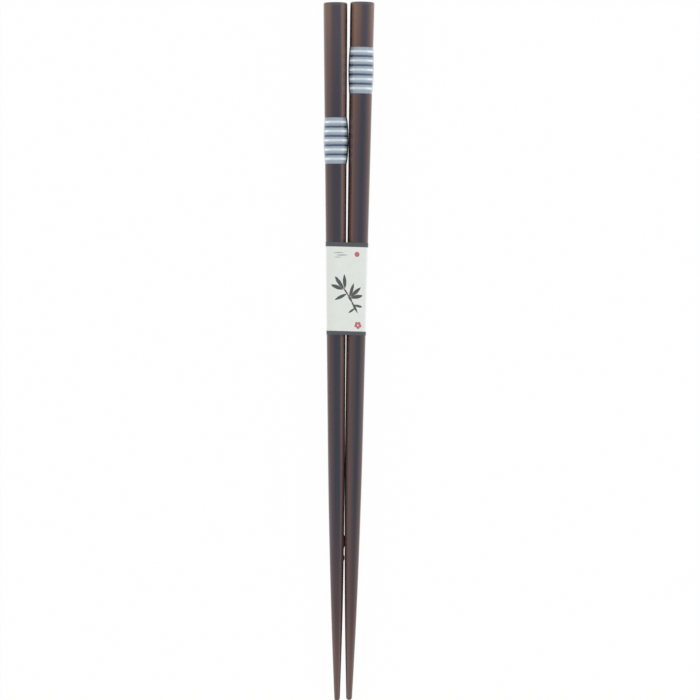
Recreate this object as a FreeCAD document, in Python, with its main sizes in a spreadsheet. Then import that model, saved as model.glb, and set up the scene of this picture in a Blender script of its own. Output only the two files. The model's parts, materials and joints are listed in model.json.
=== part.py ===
import FreeCAD, Part
import math
import os
import Sketcher

# A pair of lacquered bamboo chopsticks held together by a paper band. Each stick is one round
# turned rod with a long taper and a finer tip, and has a raised, barrel-shaped band of pale
# lacquer with four indigo lines laid into it.
#
# Frame: the pair lies on the plane Z = 0 with its butts towards +Y and its tips towards -Y,
# side by side along X, and the origin is below the middle of the pair. Millimetres.
# A "station" is a distance along a stick, measured from its butt face.

SIZES = {
    "stick_length": 235.0,
    "butt_diameter": 8.12,
    "butt_rounding": 0.6,
    "straight_length": 150.0,
    "straight_end_diameter": 5.82,
    "nose_radius": 0.92,
    "band_length": 15.5,
    "band_rim": 0.06,
    "band_crown": 0.45,
    "left_band_station": 46.5,
    "right_band_station": 22.9,
    "line_pitch": 3.1,
    "line_width": 0.6,
    "line_bed": 0.15,
    "butt_half_spacing": 4.53,
    "toe_in_degrees": 0.61,
    "right_stick_lead": 0.25,
    "paper_length": 31.1,
    "paper_station": 96.3,
    "paper_thickness": 0.08,
    "paper_slack_upper": 0.02,
    "paper_slack_lower": 0.05,
    "paper_skew_degrees": 1.1,
    "paper_lap": 4.0,
    "paper_ramp": 0.8,
}

LINES_PER_BAND = 4
ORIGIN_POINT = (-1, 1)
VERTICAL_AXIS = -2
HORIZONTAL_AXIS = -1
START, END, CENTRE = 1, 2, 3


def make_sheet(doc):
    """The driving dimensions, one named cell each."""
    sheet = doc.addObject("Spreadsheet::Sheet", "sizes")
    for row, (alias, value) in enumerate(SIZES.items(), start=1):
        sheet.set(f"A{row}", alias)
        sheet.set(f"B{row}", str(value))
        sheet.setAlias(f"B{row}", alias)
    doc.recompute()
    return sheet


def wood_radius(station):
    """Radius of a stick on its straight taper."""
    butt_radius = SIZES["butt_diameter"] / 2
    end_radius = SIZES["straight_end_diameter"] / 2
    return butt_radius - (butt_radius - end_radius) * station / SIZES["straight_length"]


def wood_radius_cell(station):
    """The same radius as an expression on the sheet."""
    drop = "(sizes.butt_diameter - sizes.straight_end_diameter) / 2 / sizes.straight_length"
    return f"sizes.butt_diameter / 2 - {drop} * ({station})"


def plane_of(body, role):
    return next(item for item in body.Origin.OriginFeatures if item.Role == role)


def new_sketch(body, name, role="XY_Plane", offset="0"):
    sketch = body.newObject("Sketcher::SketchObject", name)
    sketch.AttachmentSupport = (plane_of(body, role), [""])
    sketch.MapMode = "FlatFace"
    sketch.setExpression("AttachmentOffset.Base.z", offset)
    return sketch


def line(start, end):
    return Part.LineSegment(FreeCAD.Vector(*start, 0), FreeCAD.Vector(*end, 0))


def arc(centre, radius, start_angle, end_angle):
    circle = Part.Circle(FreeCAD.Vector(*centre, 0), FreeCAD.Vector(0, 0, 1), radius)
    return Part.ArcOfCircle(circle, start_angle, end_angle)


def tie(sketch, kind, *where):
    sketch.addConstraint(Sketcher.Constraint(kind, *where))


def size(sketch, kind, where, value, name, expression):
    """A dimension of the sketch with a name, bound to the sheet."""
    index = sketch.addConstraint(Sketcher.Constraint(kind, *where, value))
    sketch.renameConstraint(index, name)
    sketch.setExpression(f"Constraints.{name}", expression)


def fix_point(sketch, where, point, name, radius_cell, station_cell):
    """Pins a point of a stick's outline: X is the radius, and -Y the station."""
    size(sketch, "DistanceX", (*ORIGIN_POINT, *where), point[0], f"{name}_radius", radius_cell)
    size(sketch, "DistanceY", (*where, *ORIGIN_POINT), -point[1], f"{name}_station", station_cell)


def revolve(body, sketch):
    feature = body.newObject("PartDesign::Revolution", "turned")
    feature.Profile = sketch
    feature.ReferenceAxis = (sketch, ["V_Axis"])
    feature.Angle = 360
    sketch.Visibility = False
    body.Tip = feature
    return feature


def tip_sweep():
    """The long arc from the end of the straight taper to the nose: centre and radius.

    It leaves the taper in line with it and runs into the round nose without a corner.
    """
    taper = math.atan2(
        (SIZES["butt_diameter"] - SIZES["straight_end_diameter"]) / 2, SIZES["straight_length"])
    outward = (math.cos(taper), -math.sin(taper))
    begin = (SIZES["straight_end_diameter"] / 2, -SIZES["straight_length"])
    nose = SIZES["nose_radius"]
    nose_centre = (0.0, nose - SIZES["stick_length"])
    chord = (begin[0] - nose_centre[0], begin[1] - nose_centre[1])
    lean = outward[0] * chord[0] + outward[1] * chord[1]
    radius = (chord[0] ** 2 + chord[1] ** 2 - nose ** 2) / (2 * (lean - nose))
    centre = (begin[0] - radius * outward[0], begin[1] - radius * outward[1])
    return taper, centre, radius


def make_stick(doc, name, placement):
    """One chopstick: flat butt with a rounded edge, straight taper, finer tip, round nose."""
    body = doc.addObject("PartDesign::Body", name)
    sketch = new_sketch(body, f"{name}_outline")
    taper, sweep_centre, sweep_radius = tip_sweep()
    butt = SIZES["butt_diameter"] / 2
    rounding = SIZES["butt_rounding"]
    nose = SIZES["nose_radius"]
    length = SIZES["stick_length"]
    end_of_straight = (SIZES["straight_end_diameter"] / 2, -SIZES["straight_length"])
    rounding_centre = (butt - rounding * (1 + math.sin(taper)) / math.cos(taper), -rounding)
    rounding_end = (
        rounding_centre[0] + rounding * math.cos(taper),
        rounding_centre[1] - rounding * math.sin(taper))
    nose_centre = (0.0, nose - length)
    nose_angle = math.atan2(nose_centre[1] - sweep_centre[1], nose_centre[0] - sweep_centre[0])

    face = sketch.addGeometry(line((0, 0), (rounding_centre[0], 0)))
    edge = sketch.addGeometry(arc(rounding_centre, rounding, -taper, math.pi / 2))
    straight = sketch.addGeometry(line(rounding_end, end_of_straight))
    sweep = sketch.addGeometry(arc(sweep_centre, sweep_radius, nose_angle, -taper))
    tip = sketch.addGeometry(arc(nose_centre, nose, -math.pi / 2, nose_angle))
    axis = sketch.addGeometry(line((0, -length), (0, 0)))
    corner = sketch.addGeometry(Part.Point(FreeCAD.Vector(butt, 0, 0)), True)

    tie(sketch, "Coincident", face, START, *ORIGIN_POINT)
    tie(sketch, "Horizontal", face)
    tie(sketch, "Tangent", face, END, edge, END)
    tie(sketch, "Tangent", edge, START, straight, START)
    tie(sketch, "Tangent", straight, END, sweep, END)
    tie(sketch, "Tangent", sweep, START, tip, END)
    tie(sketch, "Coincident", tip, START, axis, START)
    tie(sketch, "Coincident", axis, END, face, START)
    tie(sketch, "Vertical", axis)
    tie(sketch, "PointOnObject", tip, CENTRE, VERTICAL_AXIS)
    tie(sketch, "PointOnObject", corner, START, straight)
    tie(sketch, "PointOnObject", corner, START, HORIZONTAL_AXIS)
    size(sketch, "Radius", (edge,), rounding, "edge_rounding", "sizes.butt_rounding")
    size(sketch, "Radius", (tip,), nose, "nose", "sizes.nose_radius")
    size(sketch, "DistanceX", (*ORIGIN_POINT, corner, START), butt, "butt", "sizes.butt_diameter / 2")
    size(sketch, "DistanceY", (tip, START, *ORIGIN_POINT), length, "long", "sizes.stick_length")
    fix_point(
        sketch, (straight, END), end_of_straight, "straight_end",
        "sizes.straight_end_diameter / 2", "sizes.straight_length")
    revolve(body, sketch)
    body.Label = name
    body.Placement = placement
    return body


def barrel_arc(rim_up, crown, rim_down):
    """The circle through the two rims and the crown of a band: centre, radius and both angles."""
    circle = Part.Circle(*(FreeCAD.Vector(*point, 0) for point in (rim_up, crown, rim_down)))
    centre = (circle.Center.x, circle.Center.y)
    angles = [math.atan2(point[1] - centre[1], point[0] - centre[0]) for point in (rim_down, rim_up)]
    return centre, circle.Radius, angles


def make_band_blank(doc, name, station_alias):
    """The whole raised band as a barrel-shaped ring seated on the taper of its stick."""
    body = doc.addObject("PartDesign::Body", name)
    sketch = new_sketch(body, f"{name}_outline")
    middle = SIZES[station_alias]
    half = SIZES["band_length"] / 2
    rim = SIZES["band_rim"]
    upper, lower = middle - half, middle + half
    seat_up = (wood_radius(upper), -upper)
    seat_down = (wood_radius(lower), -lower)
    rim_up = (seat_up[0] + rim, -upper)
    rim_down = (seat_down[0] + rim, -lower)
    top = (wood_radius(middle) + SIZES["band_crown"], -middle)
    centre, radius, (low_angle, high_angle) = barrel_arc(rim_up, top, rim_down)

    seat = sketch.addGeometry(line(seat_down, seat_up))
    upper_end = sketch.addGeometry(line(seat_up, rim_up))
    barrel = sketch.addGeometry(arc(centre, radius, low_angle, high_angle))
    lower_end = sketch.addGeometry(line(rim_down, seat_down))
    crown = sketch.addGeometry(Part.Point(FreeCAD.Vector(*top, 0)), True)

    tie(sketch, "Coincident", seat, END, upper_end, START)
    tie(sketch, "Coincident", upper_end, END, barrel, END)
    tie(sketch, "Coincident", barrel, START, lower_end, START)
    tie(sketch, "Coincident", lower_end, END, seat, START)
    tie(sketch, "PointOnObject", crown, START, barrel)
    middle_cell = f"sizes.{station_alias}"
    upper_cell = f"{middle_cell} - sizes.band_length / 2"
    lower_cell = f"{middle_cell} + sizes.band_length / 2"
    upper_radius = wood_radius_cell(upper_cell)
    lower_radius = wood_radius_cell(lower_cell)
    fix_point(sketch, (seat, END), seat_up, "seat_up", upper_radius, upper_cell)
    fix_point(sketch, (seat, START), seat_down, "seat_down", lower_radius, lower_cell)
    fix_point(
        sketch, (upper_end, END), rim_up, "rim_up", f"{upper_radius} + sizes.band_rim", upper_cell)
    fix_point(
        sketch, (lower_end, START), rim_down, "rim_down", f"{lower_radius} + sizes.band_rim", lower_cell)
    fix_point(
        sketch, (crown, START), top, "crown",
        f"{wood_radius_cell(middle_cell)} + sizes.band_crown", middle_cell)
    revolve(body, sketch)
    return body


def make_line_rings(doc, name, station_alias):
    """Square-cut rings where the indigo lines lie, tall enough to reach through the band."""
    body = doc.addObject("PartDesign::Body", name)
    body.AllowCompound = True
    sketch = new_sketch(body, f"{name}_outline")
    middle = SIZES[station_alias]
    bed = wood_radius(middle) + SIZES["line_bed"]
    top = bed + SIZES["band_crown"]
    bed_cell = f"{wood_radius_cell('sizes.' + station_alias)} + sizes.line_bed"
    top_cell = f"{bed_cell} + sizes.band_crown"
    for number in range(LINES_PER_BAND):
        step = number - (LINES_PER_BAND - 1) / 2
        upper = middle + step * SIZES["line_pitch"] - SIZES["line_width"] / 2
        lower = upper + SIZES["line_width"]
        upper_cell = f"sizes.{station_alias} + {step} * sizes.line_pitch - sizes.line_width / 2"
        lower_cell = f"sizes.{station_alias} + {step} * sizes.line_pitch + sizes.line_width / 2"
        corners = [(bed, -lower), (top, -lower), (top, -upper), (bed, -upper)]
        sides = [
            sketch.addGeometry(line(corner, corners[(index + 1) % 4]))
            for index, corner in enumerate(corners)]
        for index, side in enumerate(sides):
            tie(sketch, "Coincident", side, END, sides[(index + 1) % 4], START)
        tie(sketch, "Horizontal", sides[0])
        tie(sketch, "Vertical", sides[1])
        tie(sketch, "Horizontal", sides[2])
        tie(sketch, "Vertical", sides[3])
        fix_point(sketch, (sides[0], START), corners[0], f"bed{number}", bed_cell, lower_cell)
        fix_point(sketch, (sides[1], END), corners[2], f"top{number}", top_cell, upper_cell)
    revolve(body, sketch)
    return body


def make_band(doc, side, placement):
    """A pale lacquer band and its four indigo lines, laid flush into it."""
    alias = f"{side}_band_station"
    blank = make_band_blank(doc, f"band_blank_{side}", alias)
    rings = make_line_rings(doc, f"line_rings_{side}", alias)
    pale = doc.addObject("Part::Cut", f"lacquer_band_{side}")
    pale.Base = blank
    pale.Tool = rings
    lines = doc.addObject("Part::Common", f"indigo_lines_{side}")
    lines.Base = blank
    lines.Tool = rings
    for part in (pale, lines):
        part.Label = part.Name
        part.Placement = placement
    return [pale, lines]


def rest_pitch(band_station):
    """Angle in radians by which a stick's tip dips when it lies on its band and its tip sweep.

    The floor is the line through the crown of the band that just touches the long tip arc.
    """
    centre, radius = tip_sweep()[1:]
    across = wood_radius(band_station) + SIZES["band_crown"] - centre[0]
    along = band_station + centre[1]
    reach = math.hypot(across, along)
    return math.atan2(along, across) + math.acos(radius / reach)


def axis_height(band_station, station):
    """Height of a lying stick's axis above the floor at a station."""
    pitch = rest_pitch(band_station)
    crown = wood_radius(band_station) + SIZES["band_crown"]
    return crown * math.cos(pitch) - (station - band_station) * math.sin(pitch)


def stick_placement(side):
    """Puts a stick that was drawn from its butt at the origin, towards -Y, in the lying pair."""
    sign = {"left": -1, "right": 1}[side]
    band_station = SIZES[f"{side}_band_station"]
    butt = FreeCAD.Vector(
        sign * SIZES["butt_half_spacing"],
        (SIZES["stick_length"] + sign * SIZES["right_stick_lead"]) / 2,
        axis_height(band_station, 0))
    dip = FreeCAD.Rotation(FreeCAD.Vector(1, 0, 0), math.degrees(rest_pitch(band_station)))
    toe_in = FreeCAD.Rotation(FreeCAD.Vector(0, 0, 1), -sign * SIZES["toe_in_degrees"])
    return FreeCAD.Placement(butt, toe_in * dip)


def half_spacing(station):
    toe_in = math.tan(math.radians(SIZES["toe_in_degrees"]))
    return SIZES["butt_half_spacing"] - station * toe_in


def paper_centres(station, sideways):
    """Centres of the two sticks in the band's own section at a station."""
    return [
        (sideways + sign * half_spacing(station), axis_height(SIZES[f"{side}_band_station"], station))
        for side, sign in (("left", -1), ("right", 1))]


def loop_sketch(body, name, offset, centres, radius, radius_cell):
    """Two half circles round the sticks, joined by straight runs over and under them."""
    sketch = new_sketch(body, name, "XZ_Plane", offset)
    (left_x, left_z), (right_x, right_z) = centres
    lean = math.atan2(right_z - left_z, right_x - left_x)
    up = (-math.sin(lean) * radius, math.cos(lean) * radius)
    left = sketch.addGeometry(
        arc(centres[0], radius, lean + math.pi / 2, lean + 3 * math.pi / 2))
    under = sketch.addGeometry(line(
        (left_x - up[0], left_z - up[1]), (right_x - up[0], right_z - up[1])))
    right = sketch.addGeometry(arc(centres[1], radius, lean - math.pi / 2, lean + math.pi / 2))
    over = sketch.addGeometry(line(
        (right_x + up[0], right_z + up[1]), (left_x + up[0], left_z + up[1])))
    tie(sketch, "Tangent", left, END, under, START)
    tie(sketch, "Tangent", under, END, right, START)
    tie(sketch, "Tangent", right, END, over, START)
    tie(sketch, "Tangent", over, END, left, START)
    tie(sketch, "Equal", left, right)
    for side, centre in ((left, centres[0]), (right, centres[1])):
        tie(sketch, "DistanceX", *ORIGIN_POINT, side, CENTRE, centre[0])
        tie(sketch, "DistanceY", *ORIGIN_POINT, side, CENTRE, centre[1])
    size(sketch, "Radius", (left,), radius, "bend", radius_cell)
    return sketch


def polygon_sketch(body, name, offset, corners):
    """A closed outline of straight lines in the band's section."""
    sketch = new_sketch(body, name, "XZ_Plane", offset)
    sides = [
        sketch.addGeometry(line(corner, corners[(index + 1) % len(corners)]))
        for index, corner in enumerate(corners)]
    for index, side in enumerate(sides):
        tie(sketch, "Coincident", side, END, sides[(index + 1) % len(sides)], START)
        tie(sketch, "DistanceX", *ORIGIN_POINT, side, START, corners[index][0])
        tie(sketch, "DistanceY", *ORIGIN_POINT, side, START, corners[index][1])
    return sketch


def loft(body, kind, name, sketches):
    feature = body.newObject(f"PartDesign::{kind}", name)
    feature.Profile = sketches[0]
    feature.Sections = [sketches[1]]
    feature.Ruled = True
    for sketch in sketches:
        sketch.Visibility = False
    body.Tip = feature
    body.Document.recompute()
    return feature


def make_paper(doc, name):
    """One paper strip wound once round both sticks and glued to itself underneath.

    The inner end is tucked up into the valley between the sticks, so that the outer end can run
    flat over it. It steps down to the outer layer by a short ramp, which leaves a seam.
    """
    body = doc.addObject("PartDesign::Body", name)
    thickness = SIZES["paper_thickness"]
    lap = SIZES["paper_lap"]
    ramp = SIZES["paper_ramp"]
    half = SIZES["paper_length"] / 2
    skew = math.tan(math.radians(SIZES["paper_skew_degrees"]))
    outer, inner, tucked, seam = [], [], [], []
    for end, sign in (("upper", -1), ("lower", 1)):
        station = SIZES["paper_station"] + sign * half
        station_cell = f"sizes.paper_station + {sign} * sizes.paper_length / 2"
        offset = f"{sign} * sizes.paper_length / 2"
        centres = paper_centres(station, sign * half * skew)
        slack_cell = f"{wood_radius_cell(station_cell)} + sizes.paper_slack_{end}"
        inside = wood_radius(station) + SIZES[f"paper_slack_{end}"]
        outer.append(loop_sketch(
            body, f"outside_{end}", offset, centres, inside + thickness,
            f"{slack_cell} + sizes.paper_thickness"))
        inner.append(loop_sketch(body, f"inside_{end}", offset, centres, inside, slack_cell))
        middle = sum(centre[0] for centre in centres) / 2
        tilt = (centres[1][1] - centres[0][1]) / (centres[1][0] - centres[0][0])
        floor = sum(centre[1] for centre in centres) / 2 - inside

        def spot(across, above):
            return (middle + across, floor + across * tilt + above)

        tucked.append(polygon_sketch(body, f"tucked_{end}", offset, [
            spot(-lap / 2, -thickness / 2), spot(lap / 2 + ramp, -thickness / 2),
            spot(lap / 2 + ramp, 0), spot(lap / 2, thickness), spot(-lap / 2, thickness)]))
        seam.append(polygon_sketch(body, f"seam_{end}", offset, [
            spot(lap / 2, 0), spot(lap / 2, -2 * thickness), spot(lap / 2 + ramp, -2 * thickness),
            spot(lap / 2 + ramp, -thickness)]))
    loft(body, "AdditiveLoft", "wrapped", outer)
    loft(body, "SubtractiveLoft", "hollow", inner)
    loft(body, "AdditiveLoft", "tucked_end", tucked)
    loft(body, "SubtractiveLoft", "seam_step", seam)
    body.Label = name
    middle_y = SIZES["stick_length"] / 2 - SIZES["paper_station"]
    body.Placement = FreeCAD.Placement(
        FreeCAD.Vector(0, middle_y, 0),
        FreeCAD.Rotation(FreeCAD.Vector(0, 0, 1), -SIZES["paper_skew_degrees"]))
    return body


def check_document(doc):
    for item in doc.Objects:
        if "Invalid" in item.State or "Error" in item.State:
            raise RuntimeError(f"{item.Name} failed: {item.State}")
        if item.isDerivedFrom("Sketcher::SketchObject") and item.solve() != 0:
            raise RuntimeError(f"{item.Name} doesn't solve")


def write_parts(parts):
    for part in parts:
        if part.Shape.isNull() or not part.Shape.isValid():
            raise RuntimeError(f"{part.Label} has no valid shape")
    os.makedirs("parts", exist_ok=True)
    for part in parts:
        part.Shape.exportStep(f"parts/{part.Label}.step")
        box = part.Shape.BoundBox
        print(f"{part.Label}: {len(part.Shape.Solids)} solids, {part.Shape.Volume:.1f} mm3, "
              f"Z {box.ZMin:.3f} to {box.ZMax:.3f}")


doc = FreeCAD.newDocument("chopsticks")
make_sheet(doc)
parts = []
for side in ("left", "right"):
    placement = stick_placement(side)
    parts.append(make_stick(doc, f"chopstick_{side}", placement))
    parts.extend(make_band(doc, side, placement))
parts.append(make_paper(doc, "paper_band"))
doc.recompute()
check_document(doc)
write_parts(parts)
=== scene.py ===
import json
import math

import bpy
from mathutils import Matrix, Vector


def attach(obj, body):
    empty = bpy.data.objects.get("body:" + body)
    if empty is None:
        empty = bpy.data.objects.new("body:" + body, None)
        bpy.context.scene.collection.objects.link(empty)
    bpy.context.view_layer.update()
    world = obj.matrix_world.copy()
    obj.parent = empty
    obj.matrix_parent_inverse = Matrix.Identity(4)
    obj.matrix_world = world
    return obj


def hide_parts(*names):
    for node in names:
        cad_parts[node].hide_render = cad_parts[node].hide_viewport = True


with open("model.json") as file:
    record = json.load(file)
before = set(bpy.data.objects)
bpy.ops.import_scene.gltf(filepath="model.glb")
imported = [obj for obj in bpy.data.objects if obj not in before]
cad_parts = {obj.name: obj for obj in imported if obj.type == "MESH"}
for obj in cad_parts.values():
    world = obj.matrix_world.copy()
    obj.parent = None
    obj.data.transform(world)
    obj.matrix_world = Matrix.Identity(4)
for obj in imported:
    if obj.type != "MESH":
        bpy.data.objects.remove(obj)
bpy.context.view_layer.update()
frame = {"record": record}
mm = 0.001

# The two sticks: split bamboo turned to one long taper, stained dark and dipped in clear lacquer.
# The butt is cut flat and its edge eased and greyed; the last third is swept finer to a round nose.
# Each lies where its butt face is in the imported record, rolled so that its dark skin side is up.

stick_length = 235 * mm
butt_radius = 4.06 * mm
butt_rounding = 0.6 * mm
straight_length = 150 * mm
straight_end_radius = 2.91 * mm
taper_slope = math.atan2(butt_radius - straight_end_radius, straight_length)
nose_radius = 0.92 * mm
sides_round_stick = 96
butt_rings = (0, 0.3, 0.6, 0.85)
rounding_steps = 7
straight_steps = 100
sweep_steps = 160
nose_steps = 10
roll_of_skin = {"left": math.radians(5), "right": math.radians(19)}
inward_side = {"left": 1, "right": -1}
hand_turned = 0.01 * mm
short_wave = 9 * mm
long_wave = 23 * mm
wave_lag = 1.3

# Each pair is what is added towards the other stick, and away from it.
hair_thicker = {"left": (-0.01 * mm, -0.025 * mm), "right": (0.025 * mm, 0.05 * mm)}
fuller_tip = {"left": (0.095 * mm, 0), "right": (0.04 * mm, 0.04 * mm)}
fuller_from = 174 * mm
fuller_run = 32 * mm
true_nose = 0.9 * mm

# Each bead is the station of its middle, and its reach to either side.
lacquer_beads = {"left": ((181.3 * mm, 2.3 * mm), (186.8 * mm, 0.9 * mm)), "right": ()}
bead_height = 0.25 * mm
bead_bluntness = 1.8
bead_narrowness = 10


class StickPlace:
    """A stick's own axes: across it, along it from the butt, and up from it."""

    def __init__(self, side):
        mount = next(
            mount for mount in frame["record"]["mounts"] if mount["name"] == f"butt_face_{side}")
        self.butt = Vector(mount["pos_m"])
        self.outward = Vector(mount["axis"]).normalized()
        self.across = self.outward.cross(Vector((0, 0, 1))).normalized()
        self.up = self.across.cross(self.outward)

    def point(self, radius, angle, station):
        """A point of the stick, with the angle counted from straight up towards +X."""
        sideways = self.across * (radius * math.sin(angle))
        return self.butt + sideways + self.up * (radius * math.cos(angle)) - self.outward * station


def wood_radius(station):
    """Radius of the straight taper."""
    return butt_radius + (straight_end_radius - butt_radius) * station / straight_length


def sweep_radius():
    """Radius of the long arc that leaves the taper in line and runs into the round nose."""
    along = stick_length - nose_radius - straight_length
    lean = straight_end_radius * math.cos(taper_slope) - along * math.sin(taper_slope)
    reach = straight_end_radius ** 2 + along ** 2
    return (reach - nose_radius ** 2) / (2 * (lean - nose_radius))


def stick_profile():
    """The stick's outline from the middle of the butt face to the nose: station and radius."""
    flat = wood_radius(butt_rounding) - butt_rounding
    outline = [(0, flat * share) for share in butt_rings]
    for step in range(rounding_steps + 1):
        turn = math.radians(90 * step / rounding_steps)
        outline.append((
            butt_rounding * (1 - math.cos(turn)), flat + butt_rounding * math.sin(turn)))
    for step in range(1, straight_steps + 1):
        station = butt_rounding + (straight_length - butt_rounding) * step / straight_steps
        outline.append((station, wood_radius(station)))
    arc = sweep_radius()
    centre_station = straight_length - arc * math.sin(taper_slope)
    centre_radius = straight_end_radius - arc * math.cos(taper_slope)
    nose = stick_length - nose_radius
    last = math.atan2(nose - centre_station, -centre_radius)
    for step in range(1, sweep_steps + 1):
        turn = taper_slope + (last - taper_slope) * step / sweep_steps
        outline.append((
            centre_station + arc * math.sin(turn), centre_radius + arc * math.cos(turn)))
    for step in range(1, nose_steps + 1):
        turn = last + (math.pi / 2 - last) * step / nose_steps
        outline.append((nose + nose_radius * math.sin(turn), nose_radius * math.cos(turn)))
    return outline


def two_sided(side, angle, amounts):
    """One amount towards the other stick, another away from it, and none on top."""
    facing = inward_side[side] * math.sin(angle)
    inner, outer = amounts
    return max(0, facing) * inner + max(0, -facing) * outer


def hand_wave(side, angle, station):
    """How far a hand-turned stick is from truly round and from an even taper."""
    wave = math.sin(station / short_wave + 2 * angle)
    wave += math.sin(station / long_wave - angle + wave_lag)
    tip = two_sided(side, angle, fuller_tip[side])
    tip *= min(1, max(0, station - fuller_from) / fuller_run)
    fuller = tip + two_sided(side, angle, hair_thicker[side])
    fuller *= min(1, (stick_length - station) / true_nose)
    return hand_turned * wave / 2 + fuller + lacquer_bead(side, angle, station)


def lacquer_bead(side, angle, station):
    """Small runs of lacquer that dried on the left stick, in the gap between the two."""
    height = 0
    for middle, reach in lacquer_beads[side]:
        share = (station - middle) / reach
        height = max(height, bead_height * min(1, bead_bluntness * max(0, 1 - share * share)))
    return height * max(0, inward_side[side] * math.sin(angle)) ** bead_narrowness


def turned_piece(name, side, outline, sides, uneven, zero_station=0, roll=0, closed=False):
    """A surface turned round a stick's axis. The outline's ends lie on the axis, or meet if closed.

    The attribute "turned" keeps each point's place in the stick: towards the other stick, along
    it, and up. The attribute "right_stick" is 1 on what belongs to the right stick.
    """
    place = places[side]
    points, turned, rings = [], [], []
    for station, radius in outline:
        on_axis = radius < 1e-6 * mm
        ring = []
        for number in range(1 if on_axis else sides):
            angle = 2 * math.pi * number / sides
            grown = 0 if on_axis else radius + uneven(side, angle, station)
            ring.append(len(points))
            points.append(place.point(grown, angle, station))
            turned.append((
                inward_side[side] * grown * math.sin(angle - roll), station - zero_station,
                grown * math.cos(angle - roll)))
        rings.append(ring)
    pairs = list(zip(rings, rings[1:] + rings[:1] if closed else rings[1:]))
    faces = []
    for ring, further in pairs:
        for number in range(sides):
            after = (number + 1) % sides
            if len(ring) == 1:
                faces.append((ring[0], further[number], further[after]))
            elif len(further) == 1:
                faces.append((ring[number], further[0], ring[after]))
            else:
                faces.append((ring[number], further[number], further[after], ring[after]))
    piece = mesh_piece(name, points, faces, "turned", turned)
    which = piece.data.attributes.new("right_stick", "FLOAT", "POINT")
    which.data.foreach_set("value", [float(side == "right")] * len(points))
    return piece


def mesh_piece(name, points, faces, attribute, values):
    """A smooth piece that keeps a place of its own in each point, for its finish to use."""
    mesh = bpy.data.meshes.new(name)
    mesh.from_pydata(points, [], faces)
    mesh.attributes.new(attribute, "FLOAT_VECTOR", "POINT").data.foreach_set(
        "vector", [number for value in values for number in value])
    mesh.shade_smooth()
    piece = bpy.data.objects.new(name, mesh)
    bpy.context.scene.collection.objects.link(piece)
    return piece


class Value:
    """A socket of a finish, so that shader maths is written as Python."""

    def __init__(self, finish, socket):
        self.finish = finish
        self.socket = socket

    def maths(self, operation, *others):
        return self.finish.node("Math", {"operation": operation}, self, *others)

    def __add__(self, other):
        return self.maths("ADD", other)

    def __sub__(self, other):
        return self.maths("SUBTRACT", other)

    def __mul__(self, other):
        return self.maths("MULTIPLY", other)

    def __truediv__(self, other):
        return self.maths("DIVIDE", other)

    def __rsub__(self, other):
        return self.finish.node("Math", {"operation": "SUBTRACT"}, other, self)

    def __rtruediv__(self, other):
        return self.finish.node("Math", {"operation": "DIVIDE"}, other, self)

    __radd__ = __add__
    __rmul__ = __mul__

    def __abs__(self):
        return self.maths("ABSOLUTE")

    def power(self, exponent):
        return self.maths("POWER", exponent)

    def most(self, other):
        return self.maths("MAXIMUM", other)

    def rise(self, low, high):
        """0 below low and 1 above high, smooth between, or the other way where low is higher."""
        return self.finish.node(
            "MapRange", {"interpolation_type": "SMOOTHSTEP"}, self, low, high, 0.0, 1.0)


class Finish:
    """A material's or the world's nodes; a material's constants go on its shader's own sockets."""

    def __init__(self, kind, name, constants):
        self.owner = kind.new(name)
        self.owner.use_nodes = True
        self.tree = self.owner.node_tree
        self.surface = self.tree.nodes.get("Principled BSDF")
        for socket, value in constants.items():
            self.surface.inputs[socket].default_value = value

    def node(self, kind, settings, *values, output=0, **sockets):
        """Any shader node: its settings first, then its sockets in order or by name."""
        node = self.tree.nodes.new(f"ShaderNode{kind}")
        for setting, value in settings.items():
            setattr(node, setting, value)
        named = {name.replace("_", " "): value for name, value in sockets.items()}
        for socket, value in [*enumerate(values), *named.items()]:
            if value is not None:
                self.put(node.inputs[socket], value)
        return Value(self, node.outputs[output])

    def put(self, socket, value):
        if isinstance(value, Value):
            self.tree.links.new(value.socket, socket)
        elif socket.type == "RGBA" and len(value) == 3:
            socket.default_value = (*value, 1)
        else:
            socket.default_value = value

    def drive(self, socket, value):
        self.put(self.surface.inputs[socket], value)

    def place(self, attribute):
        """The three parts of a place that the mesh keeps, in metres."""
        stored = self.node("Attribute", {"attribute_name": attribute}, output="Vector")
        return [self.node("SeparateXYZ", {}, stored, output=axis) for axis in "XYZ"]

    def spot(self, x, y, z):
        return self.node("CombineXYZ", {}, x, y, z)

    def noise(self, spot, scale, detail, roughness=0.5):
        return self.node(
            "TexNoise", {}, Vector=spot, Scale=scale, Detail=detail, Roughness=roughness)

    def blend(self, share, colour, other):
        """One colour where share is 0, and the other where it is 1."""
        unused = [None] * 5
        return self.node("Mix", {"data_type": "RGBA"}, share, *unused, colour, other, output=2)

    def relief(self, height, distance, strength):
        """A height of 0 to 1 becomes a relief of that distance in metres."""
        self.drive("Normal", self.node(
            "Bump", {}, Height=height, Distance=distance, Strength=strength))


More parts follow.
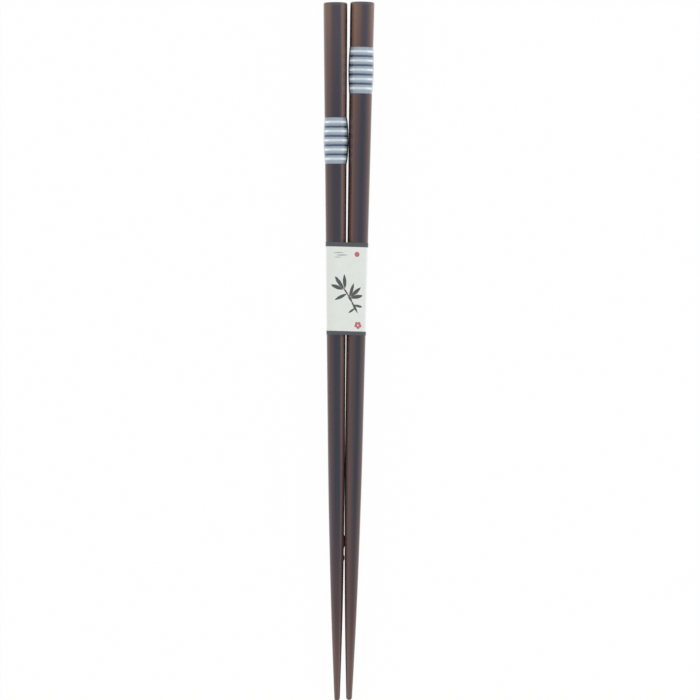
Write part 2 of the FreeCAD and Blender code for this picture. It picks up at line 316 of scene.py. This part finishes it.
def smoked_bamboo():
    """Dark stained bamboo with its fibres lengthwise, under a clear satin lacquer.

    A blue-black strip of skin runs along the top, between brown flanks. The left stick's flank
    towards the other is painted much lighter, a painted light from the right, and its outer one
    turns lilac past the paper. All of it warms towards the butt and again towards the tip, and the
    deepest part of the gap between the sticks is painted nearly black as painted shade.
    """
    butt_skin = (0.031, 0.024, 0.041)
    skin = (0.009, 0.0065, 0.025)
    deep_skin = (0.002, 0.004, 0.018)
    fine_skin = (0.040, 0.013, 0.015)
    tip_skin = (0.110, 0.053, 0.037)
    butt_brown = (0.178, 0.086, 0.056)
    brown = (0.066, 0.029, 0.028)
    warm_brown = (0.084, 0.034, 0.031)
    tip_brown = (0.140, 0.086, 0.070)
    butt_red = (0.225, 0.122, 0.078)
    red_brown = (0.145, 0.066, 0.052)
    dull_red = (0.098, 0.052, 0.043)
    # The two flank colours are painted light: the left stick's side towards the other is painted
    # lighter, as if lit from the right.
    painted_lit_butt_flank = (0.215, 0.122, 0.095)
    flank = (0.195, 0.106, 0.086)
    lilac_flank = (0.084, 0.058, 0.090)
    # Painted shade, for the gap between the sticks and past the foot of the left band.
    painted_gap_shade = (0.042, 0.033, 0.030)
    grey_butt_edge = (0.085, 0.086, 0.093)
    worn_nose = (0.060, 0.052, 0.034)
    pith = (0.150, 0.082, 0.050)
    pore = (0.012, 0.009, 0.008)
    middle_of_beads = 182.6 * mm
    foot_of_left_band = 54.3 * mm

    wood = Finish(bpy.data.materials, "smoked_bamboo", {
        "Specular IOR Level": 0.2, "Coat Weight": 1.0, "Coat Roughness": 0.2, "Coat IOR": 1.5})
    inward, station, up = wood.place("turned")
    right = wood.node("Attribute", {"attribute_name": "right_stick"}, output="Fac")
    left = 1 - right
    radius = (inward * inward + up * up).power(0.5).most(0.1 * mm)
    sideways = inward / radius
    upward = up / radius

    def lengthwise(stretch, scale, detail, roughness=0.5):
        """Noise that is drawn out along the fibres."""
        return wood.noise(wood.spot(inward, station * stretch, up), scale, detail, roughness)

    def turning(colour, start, end, other):
        """One colour that turns into another between two stations, given in millimetres."""
        return wood.blend(station.rise(start * mm, end * mm), colour, other)

    slow = lengthwise(0.03, 420.0, 3.0)
    broad = lengthwise(0.012, 1000.0, 2.0)
    streaks = lengthwise(0.012, 2600.0, 3.0, 0.6)
    fibres = lengthwise(0.02, 7500.0, 2.0, 0.6)

    dark = turning(skin, 40, 2, butt_skin)
    dark = turning(dark, 82, 112, deep_skin)
    dark = turning(dark, 160, 205, fine_skin)
    dark = turning(dark, 203, 230, tip_skin)

    near_butt = (station.rise(20 * mm, 0.0) + station.rise(56 * mm, 6 * mm)) * 0.5
    plain = wood.blend(near_butt, brown, butt_brown)
    plain = wood.blend(right * station.rise(138 * mm, 162 * mm), plain, warm_brown)
    reddish = turning(red_brown, 78, 116, dull_red)
    reddish = wood.blend(near_butt, reddish, butt_red)
    # Painted light: the left stick's flank towards the other stick is painted lighter where the
    # light from the right falls.
    lit = wood.blend(near_butt, flank, painted_lit_butt_flank)
    lit = turning(lit, 84, 198, plain)
    side = wood.blend(right * sideways.rise(-0.25, -0.45) * 0.4, plain, reddish)
    side = wood.blend(left * sideways.rise(0.37, 0.59), side, lit)
    side = wood.blend(right * sideways.rise(0.62, 0.92), side, reddish)
    lilac = left * station.rise(144 * mm, 156 * mm) * sideways.rise(-0.45, -0.85)
    side = wood.blend(lilac * 0.6, side, lilac_flank)
    side = turning(side, 194, 228, tip_brown)
    # Painted shade: the sides of the sticks deep in the gap between them are painted nearly black,
    # less so at the beads.
    painted_gap_shade_mask = sideways.rise(0.73 + right * 0.21, 0.88 + right * 0.11)
    beaded = abs(station - middle_of_beads).rise(5.2 * mm, 4.4 * mm)
    side = wood.blend(painted_gap_shade_mask * (1 - beaded * 0.75), side, painted_gap_shade)

    rightwards = sideways * (1 - right * 2)
    waver = (slow - 0.5) * 0.16 + (streaks - 0.5) * 0.10
    strip = (waver - rightwards).rise(0.68 + right * 0.06, 0.18 - right * 0.06)
    strip = strip * (waver + rightwards).rise(0.59 - right * 0.08, 0.22 - right * 0.09)
    strip = strip * upward.rise(-0.1, 0.3)
    body = wood.blend(strip, side, dark)
    body = wood.blend(broad.rise(0.50, 0.75) * 0.35, body, dark)
    body = wood.blend(broad.rise(0.48, 0.25) * strip * 0.22, body, side)
    body = wood.blend(streaks.rise(0.54, 0.72) * 0.45, body, dark)
    body = wood.blend(fibres.rise(0.55, 0.75) * 0.25, body, side)

    # The eased butt edge is greyed, further over the top than underneath.
    reach = 0.5 * mm + upward.most(0.0) * (0.65 * mm)
    grey_edge_share = (station - reach).rise(0.12 * mm, -0.12 * mm)
    body = wood.blend(grey_edge_share * 0.45, body, grey_butt_edge)
    bundles = wood.node("TexVoronoi", {}, Vector=wood.spot(inward, 0.0, up), Scale=1900.0)
    end_grain = wood.blend(bundles.rise(0.42, 0.2), pith, pore)
    body = wood.blend(station.rise(0.12 * mm, 0.02 * mm) * 0.35, body, end_grain)
    # Painted shadow: a dark ring on the wood just past the tip end of the left band.
    painted_band_end_shadow = left * abs(station - foot_of_left_band).rise(0.26 * mm, 0.10 * mm)
    body = wood.blend(painted_band_end_shadow * 0.7, body, painted_gap_shade)
    body = wood.blend(station.rise(233.2 * mm, 234.8 * mm) * 0.45, body, worn_nose)
    wood.drive("Base Color", body)
    wood.drive("Roughness", 0.40 + streaks * 0.14)
    wood.relief(fibres * 0.7 + streaks * 0.3, 0.018 * mm, 0.35)
    return wood.owner


wood_finish = smoked_bamboo()
places = {side: StickPlace(side) for side in ("left", "right")}
for side in places:
    stick = turned_piece(
        f"bamboo_stick_{side}", side, stick_profile(), sides_round_stick, hand_wave,
        roll=roll_of_skin[side])
    stick.data.materials.append(wood_finish)
    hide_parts(f"chopstick_{side}")
    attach(stick, "root")

# The raised bands: thick pale lacquer built up on each stick like a low barrel and fired hard.
# White rings and soft grey-blue ones take turns, and the ends run down to the wood.

band_length = 15.5 * mm
band_middle = {"left": 46.5 * mm, "right": 22.9 * mm}
band_ends = {"left": (-7.80 * mm, 7.72 * mm), "right": (-7.66 * mm, 7.92 * mm)}
band_rim = 0.06 * mm
band_crown = {"left": 0.45 * mm, "right": 0.42 * mm}
thick_inward = {"left": 0.19 * mm, "right": -0.08 * mm}
eased_end = 0.12 * mm
seat_depth = 0.01 * mm
line_pitch = 3.1 * mm
line_width = 0.6 * mm
line_bed = 0.15 * mm
line_steps = (-1.5, -0.5, 0.5, 1.5)
barrel_spacing = 0.25 * mm
sides_round_band = 128


def lacquer_radius(side, offset):
    """Radius of the barrel at a distance from the middle of the band."""
    share = offset / (band_length / 2)
    bulge = (band_crown[side] - band_rim) * (1 - share * share)
    return wood_radius(band_middle[side] + offset) + band_rim + bulge


def thick_side(side, angle, station):
    """The left barrel is thicker where it faces the other stick, and the right one thinner."""
    share = (station - band_middle[side]) / (band_length / 2)
    facing = max(0, inward_side[side] * math.sin(angle))
    thick = thick_inward[side] * facing ** 3 * max(0, 1 - share ** 4)
    return thick + two_sided(side, angle, hair_thicker[side])


def even_steps(start, end, step):
    count = max(1, round(abs(end - start) / step))
    return [start + (end - start) * number / count for number in range(count + 1)]


def band_outline(side):
    """The pale band in section, with a bed cut into it for each indigo line."""
    middle = band_middle[side]
    first, last = band_ends[side]
    edges = [first + eased_end]
    for step in line_steps:
        edges += [step * line_pitch - line_width / 2, step * line_pitch + line_width / 2]
    edges.append(last - eased_end)
    bed = wood_radius(middle) + line_bed
    outline = [(middle + first, wood_radius(middle + first) - seat_depth)]
    outline.append((middle + first, wood_radius(middle + first) + band_rim / 3))
    for number, (start, end) in enumerate(zip(edges, edges[1:])):
        if number % 2 == 0:
            for offset in even_steps(start, end, barrel_spacing):
                outline.append((middle + offset, lacquer_radius(side, offset)))
        else:
            outline += [(middle + start, bed), (middle + end, bed)]
    outline.append((middle + last, wood_radius(middle + last) + band_rim / 3))
    outline.append((middle + last, wood_radius(middle + last) - seat_depth))
    return outline


def striped_lacquer(name, depth):
    """Glossy lacquer whose rings of colour soften into each other, as brushed by hand."""
    white = (0.655, 0.725, 0.775)
    painted_sheen_white = (0.90, 0.95, 0.96)
    pale_blue = (0.325, 0.390, 0.465)
    blue_shade = (0.205, 0.275, 0.360)
    indigo = (0.011, 0.034, 0.088)
    indigo_painted_shade = (0.006, 0.022, 0.068)
    inner_shade = (0.020, 0.036, 0.042)
    painted_pale_highlight = (0.52, 0.58, 0.64)
    lacquer = Finish(bpy.data.materials, name, {
        "Roughness": 0.25, "Coat Weight": 1.0, "Coat Roughness": 0.06})
    across, offset, up = lacquer.place("turned")
    right = lacquer.node("Attribute", {"attribute_name": "right_stick"}, output="Fac")
    mottle = lacquer.noise(lacquer.spot(across, offset * 0.6, up), 700.0, 3.0)
    grain = lacquer.noise(lacquer.spot(across, offset * 2.5, up), 2200.0, 3.0)
    brushed = offset + (mottle - 0.5) * (0.22 * mm)
    white_early = (1 - right) * (0.12 * mm)
    line_late = right * (0.05 * mm)
    from_white = (brushed + white_early).maths("PINGPONG", line_pitch / 2)
    from_line = (brushed - line_late).maths("PINGPONG", line_pitch / 2)

    ground = lacquer.blend(from_white.rise(0.75 * mm, 1.3 * mm), pale_blue, blue_shade)
    ground = lacquer.blend(abs(offset).rise(6.7 * mm, 7.3 * mm) * 0.75, ground, pale_blue)
    ground = lacquer.blend((grain - 0.35) * 0.35, ground, blue_shade)
    sideways = across / (across * across + up * up).power(0.5)
    flank = abs(sideways)
    # Painted highlight: the white rings are painted brighter towards both sides of the band.
    white_with_painted_sheen = lacquer.blend(flank.rise(0.35, 0.75), white, painted_sheen_white)
    coloured = lacquer.blend(from_white.rise(0.56 * mm, 0.16 * mm), ground, white_with_painted_sheen)
    line = from_line.rise(1.17 * mm, 1.36 * mm) * abs(offset).rise(7.0 * mm, 6.2 * mm)
    # Painted shade: the indigo lines are painted darker towards both sides of the band.
    coloured = lacquer.blend(line, coloured, lacquer.blend(
        flank.rise(0.40, 0.85), indigo, indigo_painted_shade))
    shaded = sideways.rise(0.80 + right * 0.02, 0.96 + right * 0.04) * 0.8
    coloured = lacquer.blend(shaded, coloured, inner_shade)
    # Painted highlight: the outer side of each band is painted pale.
    coloured = lacquer.blend(sideways.rise(-0.86, -0.97) * 0.8, coloured, painted_pale_highlight)
    lacquer.drive("Base Color", coloured)
    lacquer.relief(mottle * 0.6 + grain * 0.4, depth, 0.5)
    return lacquer.owner


pale_finish = striped_lacquer("pale_lacquer", 0.02 * mm)
for side in places:
    band = turned_piece(
        f"pale_lacquer_band_{side}", side, band_outline(side), sides_round_band, thick_side,
        zero_station=band_middle[side], closed=True)
    band.data.materials.append(pale_finish)
    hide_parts(f"lacquer_band_{side}")
    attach(band, "root")

# The indigo lines: four rings of dark lacquer to a band, laid into its beds with a full brush.
# Each stands a hair proud of the pale ground and rounds off at its edges.

line_pride = 0.012 * mm
line_spacing = 0.075 * mm


def line_outline(side, step):
    """One ring in section, from its bed up over its rounded top."""
    middle = band_middle[side]
    centre = step * line_pitch
    half = line_width / 2
    bed = wood_radius(middle) + line_bed
    outline = [(middle + centre - half, bed)]
    for offset in even_steps(-half, half, line_spacing):
        swell = line_pride * (1 - (offset / half) ** 2)
        outline.append((
            middle + centre + offset, lacquer_radius(side, centre + offset) + swell))
    outline.append((middle + centre + half, bed))
    return outline


def joined(name, parts):
    """Several meshes of one node as a single piece."""
    with bpy.context.temp_override(
            active_object=parts[0], selected_editable_objects=parts, selected_objects=parts):
        bpy.ops.object.join()
    parts[0].name = name
    parts[0].data.name = name
    return parts[0]


indigo_finish = striped_lacquer("indigo_lacquer", 0.012 * mm)
for side in places:
    rings = [
        turned_piece(
            f"line_{number}", side, line_outline(side, step), sides_round_band, thick_side,
            zero_station=band_middle[side], closed=True)
        for number, step in enumerate(line_steps)]
    lines = joined(f"indigo_line_rings_{side}", rings)
    lines.data.materials.append(indigo_finish)
    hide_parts(f"indigo_lines_{side}")
    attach(lines, "root")

# The paper band: one strip of soft mulberry paper wound tight round both sticks, a little askew.
# Its ends lap and are pasted down underneath. Its face carries dark borders, a brushed sprig of
# bamboo between mist and a red sun above and a small red blossom below.

paper_length = 31.1 * mm
paper_station = 96.3 * mm
paper_thickness = 0.07 * mm
paper_gap = 0.012 * mm
paper_skew = math.radians(-1.1)
lap_reach = 2.0 * mm
lap_ramp = 0.8 * mm
top_border = 1.51 * mm
bottom_border = 1.28 * mm
row_spacing = 0.3 * mm
bend_steps = 32
top_steps = 24
under_steps = {"first": 12, "last": 30}


def paper_loop(along):
    """Centres and radii of the circles that the strip bends round, at a distance down it."""
    middle_y = places["left"].butt.y / 2 + places["right"].butt.y / 2 - paper_station
    down = Vector((math.sin(paper_skew), -math.cos(paper_skew), 0))
    origin = Vector((0, middle_y, 0)) + down * along
    circles = []
    for side, place in places.items():
        station = abs((place.butt - origin).dot(down) / place.outward.dot(down))
        thicker_outside = hair_thicker[side][1]
        centre = place.butt - place.outward * station
        centre -= Vector((inward_side[side] * thicker_outside, 0, 0))
        circles.append((centre, wood_radius(station) + paper_gap))
    return origin, down, circles


def wound_strip():
    """The strip's inner and outer faces, its two long edges and its two pasted ends."""
    rows = even_steps(-paper_length / 2, paper_length / 2, row_spacing)
    points, sheet, layers = [], [], []
    for along in rows:
        origin, down, circles = paper_loop(along)
        sideways = Vector((-down.y, down.x, 0))
        flat = []
        for centre, radius in circles:
            offset = centre - origin
            flat.append((offset.dot(sideways), offset.z, radius))
        path = strip_path(*flat)
        row = []
        for lift in (0.0, paper_thickness):
            ring = []
            for across, height, normal, run, sunk in path:
                x = across + normal[0] * (lift + sunk)
                z = height + normal[1] * (lift + sunk)
                ring.append(len(points))
                points.append(origin + sideways * x + Vector((0, 0, z)))
                sheet.append((run, along, lift))
            row.append(ring)
        layers.append(row)
    faces = []
    for row, following in zip(layers, layers[1:]):
        inner, outer = row
        next_inner, next_outer = following
        for number in range(len(inner) - 1):
            after = number + 1
            faces.append((outer[number], next_outer[number], next_outer[after], outer[after]))
            faces.append((inner[number], inner[after], next_inner[after], next_inner[number]))
        for end, flip in ((0, False), (-1, True)):
            edge = (inner[end], next_inner[end], next_outer[end], outer[end])
            faces.append(edge[::-1] if flip else edge)
    for row, flip in ((layers[0], False), (layers[-1], True)):
        inner, outer = row
        for number in range(len(inner) - 1):
            after = number + 1
            edge = (inner[number], outer[number], outer[after], inner[after])
            faces.append(edge[::-1] if flip else edge)
    return points, faces, sheet


def strip_path(left, right):
    """The way of the strip in section, from the inner end under the pair round to the outer end.

    Each entry is a point, its outward normal, its distance along the strip counted from the middle
    of the front, and how far it lies outside the tight line.
    """
    (left_x, left_z, left_radius), (right_x, right_z, right_radius) = left, right
    apart = math.hypot(right_x - left_x, right_z - left_z)
    tilt = math.atan2(right_z - left_z, right_x - left_x)
    ease = math.asin((left_radius - right_radius) / apart)
    over = tilt + math.pi / 2 - ease
    under = tilt - math.pi / 2 + ease
    under_left = (
        left_x + left_radius * math.cos(under), left_z + left_radius * math.sin(under))
    under_right = (
        right_x + right_radius * math.cos(under), right_z + right_radius * math.sin(under))
    middle_x = (under_left[0] + under_right[0]) / 2
    path = []

    def straight(start, end, angle, count):
        for number in range(1, count + 1):
            share = number / count
            path.append((
                start[0] + (end[0] - start[0]) * share, start[1] + (end[1] - start[1]) * share,
                (math.cos(angle), math.sin(angle))))

    def bend(centre_x, centre_z, radius, start, end):
        for number in range(1, bend_steps + 1):
            angle = start + (end - start) * number / bend_steps
            path.append((
                centre_x + radius * math.cos(angle), centre_z + radius * math.sin(angle),
                (math.cos(angle), math.sin(angle))))

    def underside(x):
        share = (x - under_left[0]) / (under_right[0] - under_left[0])
        return (x, under_left[1] + (under_right[1] - under_left[1]) * share)

    first = underside(middle_x + lap_reach)
    path.append((*first, (math.cos(under), math.sin(under))))
    straight(first, under_left, under, under_steps["first"])
    bend(left_x, left_z, left_radius, under, over - 2 * math.pi)
    top_start = path[-1][:2]
    top_end = (
        right_x + right_radius * math.cos(over), right_z + right_radius * math.sin(over))
    straight(top_start, top_end, over, top_steps)
    bend(right_x, right_z, right_radius, over, under)
    straight(under_right, underside(middle_x - lap_reach), under, under_steps["last"])

    runs = [0.0]
    for before, after in zip(path, path[1:]):
        runs.append(runs[-1] + math.hypot(after[0] - before[0], after[1] - before[1]))
    front_x = (left_x + right_x) / 2
    on_top = [number for number, (x, z, normal) in enumerate(path) if normal[1] > 0]
    front = min(on_top, key=lambda number: abs(path[number][0] - front_x))
    half = runs[-1] / 2
    placed = []
    for (x, z, normal), run in zip(path, runs):
        sunk = 0.0
        if run > half and normal[1] < -0.9:
            from_lap = middle_x + lap_reach + lap_ramp - x
            sunk = paper_thickness * min(1.0, max(0.0, from_lap / lap_ramp))
        placed.append((x, z, normal, run - runs[front], sunk))
    return placed


def printed_washi():
    """Soft fibrous paper, with its borders and its picture printed on the face."""
    paper_white = (0.800, 0.822, 0.775)
    paper_shade = (0.690, 0.735, 0.690)
    strand_white = (0.86, 0.88, 0.84)
    painted_bend_highlight = (0.97, 0.98, 0.97)
    ink = (0.045, 0.052, 0.052)
    border_grey = (0.052, 0.055, 0.064)
    red = (0.50, 0.045, 0.105)
    soft = 0.07 * mm
    petals = 5
    petal_edge = (0.60 * mm, 0.47 * mm)
    petals_out = 0.72 * mm
    first_petal = 0.3
    blossom_eye = (0.16 * mm, 0.30 * mm)
    sun_edge = (0.92 * mm, 0.78 * mm)

    paper = Finish(bpy.data.materials, "white_paper", {
        "Roughness": 0.85, "Specular IOR Level": 0.25, "Sheen Weight": 0.2})
    run, along = paper.place("sheet")[:2]
    spot = paper.spot(run, along, 0.0)
    cloud = paper.noise(spot, 260.0, 4.0, 0.6)
    strands = paper.node(
        "TexVoronoi", {"feature": "DISTANCE_TO_EDGE"},
        Vector=paper.spot(run + (cloud - 0.5) * (1.6 * mm), along * 0.45, cloud * (0.5 * mm)),
        Scale=900.0)
    strand = strands.rise(0.07, 0.0)
    tooth = paper.noise(spot, 5200.0, 3.0, 0.65)
    wobble = (paper.noise(spot, 1500.0, 2.0) - 0.5) * (0.35 * mm)
    painted = paper.spot(run + wobble, along - wobble * 0.7, 0.0)

    def on_face(x, up):
        """A place on the face, from millimetres to the right of its middle and up from it."""
        return Vector((x, -up)) * mm

    def distance(centre):
        return paper.node(
            "VectorMath", {"operation": "DISTANCE"}, painted, (*centre, 0), output="Value")

    def overlaid(shapes):
        """Wherever any of the shapes is."""
        together = shapes[0]
        for shape in shapes[1:]:
            together = together.most(shape)
        return together

    def brushed_leaf(base, tip, belly):
        """A pointed leaf between two points: where two wide circles overlap."""
        base, tip = on_face(*base), on_face(*tip)
        half = (tip - base).length / 2
        radius = (half ** 2 + (belly * mm) ** 2) / (2 * belly * mm)
        middle = (base + tip) / 2
        side = Vector((-(tip - base).y, (tip - base).x)).normalized() * (radius - belly * mm)
        further = distance(middle + side).most(distance(middle - side))
        return further.rise(radius + soft, radius - soft)

    # Each stroke has its base, its tip and how far its belly swells, in millimetres.
    leaves = [
        ((-1.1, -0.3), (-5.4, 1.2), 0.66),
        ((-0.9, -0.2), (-4.0, 4.1), 0.64),
        ((-0.6, -0.1), (-0.8, 4.9), 0.60),
        ((1.3, -3.1), (5.6, -2.2), 0.64),
        ((1.2, -2.9), (4.8, 0.6), 0.62),
        ((1.0, -2.8), (2.4, 1.9), 0.54),
        ((0.1, -1.7), (-4.0, -3.9), 0.54),
        ((2.5, -5.4), (5.4, -6.1), 0.42),
        ((3.0, -6.4), (0.6, -8.2), 0.36),
    ]
    stems = [
        ((3.8, -8.2), (1.6, -4.0), 0.40),
        ((1.9, -4.7), (0.2, -1.6), 0.36),
        ((0.6, -2.3), (-1.1, 0.3), 0.30),
        ((1.9, -4.5), (1.0, -2.5), 0.24),
    ]
    mist = [
        ((-4.8, 11.9), (-0.9, 12.1), 0.17),
        ((-3.9, 11.2), (0.5, 11.3), 0.19),
        ((-4.4, 10.5), (-1.7, 10.5), 0.14),
    ]
    dry = paper.noise(paper.spot(run * 1.4, along * 0.5, 0.0), 2600.0, 2.0)
    sprig = overlaid([brushed_leaf(*stroke) for stroke in leaves + stems]) * dry.rise(0.22, 0.36)
    haze = overlaid([brushed_leaf(*stroke) for stroke in mist])
    sun = distance(on_face(3.4, 11.6)).rise(*sun_edge)

    centre = on_face(3.9, -12.2)
    blossom = []
    for petal in range(petals):
        turn = 2 * math.pi * petal / petals + first_petal
        middle = centre + Vector((math.cos(turn), math.sin(turn))) * petals_out
        blossom.append(distance(middle).rise(*petal_edge))
    blossom = overlaid(blossom) * distance(centre).rise(*blossom_eye)

    colour = paper.blend(cloud.rise(0.3, 0.75) * 0.35, paper_white, paper_shade)
    colour = paper.blend(strand * 0.18, colour, strand_white)
    # Painted highlight: the paper is painted whiter where it bends round the outer sides, fading
    # out further down.
    from_middle = abs(run + 0.15 * mm) + along * 0.012
    bend_highlight_mask = from_middle.rise(6.85 * mm, 7.4 * mm) * from_middle.rise(10.8 * mm, 9.3 * mm)
    colour = paper.blend(bend_highlight_mask, colour, painted_bend_highlight)
    colour = paper.blend(sprig * 0.93, colour, ink)
    colour = paper.blend(haze * 0.55, colour, ink)
    colour = paper.blend(blossom.most(sun) * 0.85, colour, red)
    inked = along + wobble * 0.3
    top = top_border - paper_length / 2
    bottom = paper_length / 2 - bottom_border
    borders = inked.rise(top + soft, top - soft).most(inked.rise(bottom - soft, bottom + soft))
    colour = paper.blend(borders * (0.88 + tooth * 0.12), colour, border_grey)
    paper.drive("Base Color", colour)
    paper.relief(cloud * 0.45 + strand * 0.25 + tooth * 0.3, 0.05 * mm, 0.35)
    return paper.owner


points, faces, sheet = wound_strip()
label = mesh_piece("paper_strip", points, faces, "sheet", sheet)
label.data.materials.append(printed_washi())
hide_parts("paper_band")
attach(label, "root")

# The studio: a plain white table in an even white tent of light, and a soft box at the right.
# The camera looks straight down from well above, turned a little so that the pair leans as it lay.

floor_size = 3.0
table_colour = (0.93, 0.93, 0.93, 1)
glow_share = 0.97
white = (1, 1, 1)
tent_colour = (0.98, 0.99, 1.0)
tent_strength = 0.93
shadow_reach = 30 * mm
box_place = (0.9, 0.0, 0.45)
box_size = (1.3, 0.5)
box_radiance = 0.3
camera_height = 1.6
frame_width = 235.6 * mm
camera_turn = math.radians(0.484)
camera_aim = (1.37 * mm, 0.60 * mm)
axis_height = 3.2 * mm


def white_table():
    """White to the camera, with the shadows of what lies on it kept faint."""
    table = Finish(bpy.data.materials, "white_table", {
        "Base Color": table_colour, "Roughness": 0.8, "Specular IOR Level": 0.0})
    glow = table.node("Emission", {}, Color=white, Strength=1.0)
    open_sky = table.node("AmbientOcclusion", {"samples": 16}, Distance=shadow_reach, output="AO")
    seen = table.node("LightPath", {}, output="Is Camera Ray")
    seen = seen * open_sky.rise(-0.03, 0.01) * glow_share
    mirrored = table.node("LightPath", {}, output="Is Glossy Ray") * open_sky.rise(0.08, 0.45)
    lit = Value(table, table.surface.outputs[0])
    mixed = table.node("MixShader", {}, seen.most(mirrored), lit, glow)
    table.put(table.tree.nodes["Material Output"].inputs["Surface"], mixed)
    return table.owner


def tent_of_light():
    """An even world, pure white where the camera sees it."""
    world = Finish(bpy.data.worlds, "tent", {})
    tent = world.node("Background", {}, Color=tent_colour, Strength=tent_strength)
    backdrop = world.node("Background", {}, Color=white, Strength=1.0)
    seen = world.node("LightPath", {}, output="Is Camera Ray")
    mixed = world.node("MixShader", {}, seen, tent, backdrop)
    world.put(world.tree.nodes["World Output"].inputs["Surface"], mixed)
    bpy.context.scene.world = world.owner


def soft_box(name, spot, size, radiance):
    """A rectangular lamp that faces the middle of the pair."""
    lamp = bpy.data.lights.new(name, "AREA")
    lamp.shape = "RECTANGLE"
    lamp.size, lamp.size_y = size
    lamp.energy = radiance * math.pi * size[0] * size[1]
    box = bpy.data.objects.new(name, lamp)
    box.location = spot
    box.rotation_euler = (-Vector(spot)).to_track_quat("-Z", "Y").to_euler()
    bpy.context.scene.collection.objects.link(box)


mesh = bpy.data.meshes.new("table_top")
reach = floor_size / 2
mesh.from_pydata(
    [(-reach, -reach, 0), (reach, -reach, 0), (reach, reach, 0), (-reach, reach, 0)], [],
    [(0, 1, 2, 3)])
table_top = bpy.data.objects.new("table_top", mesh)
table_top.data.materials.append(white_table())
bpy.context.scene.collection.objects.link(table_top)

tent_of_light()
soft_box("box_right", box_place, box_size, box_radiance)

camera_data = bpy.data.cameras.new("camera")
camera_data.sensor_width = 36
camera_data.lens = camera_data.sensor_width * (camera_height - axis_height) / frame_width
camera_data.clip_end = 10
camera = bpy.data.objects.new("camera", camera_data)
camera.location = (*camera_aim, camera_height)
camera.rotation_euler = (0, 0, camera_turn)
bpy.context.scene.collection.objects.link(camera)
bpy.context.scene.camera = camera
bpy.context.scene.view_settings.view_transform = "Standard"
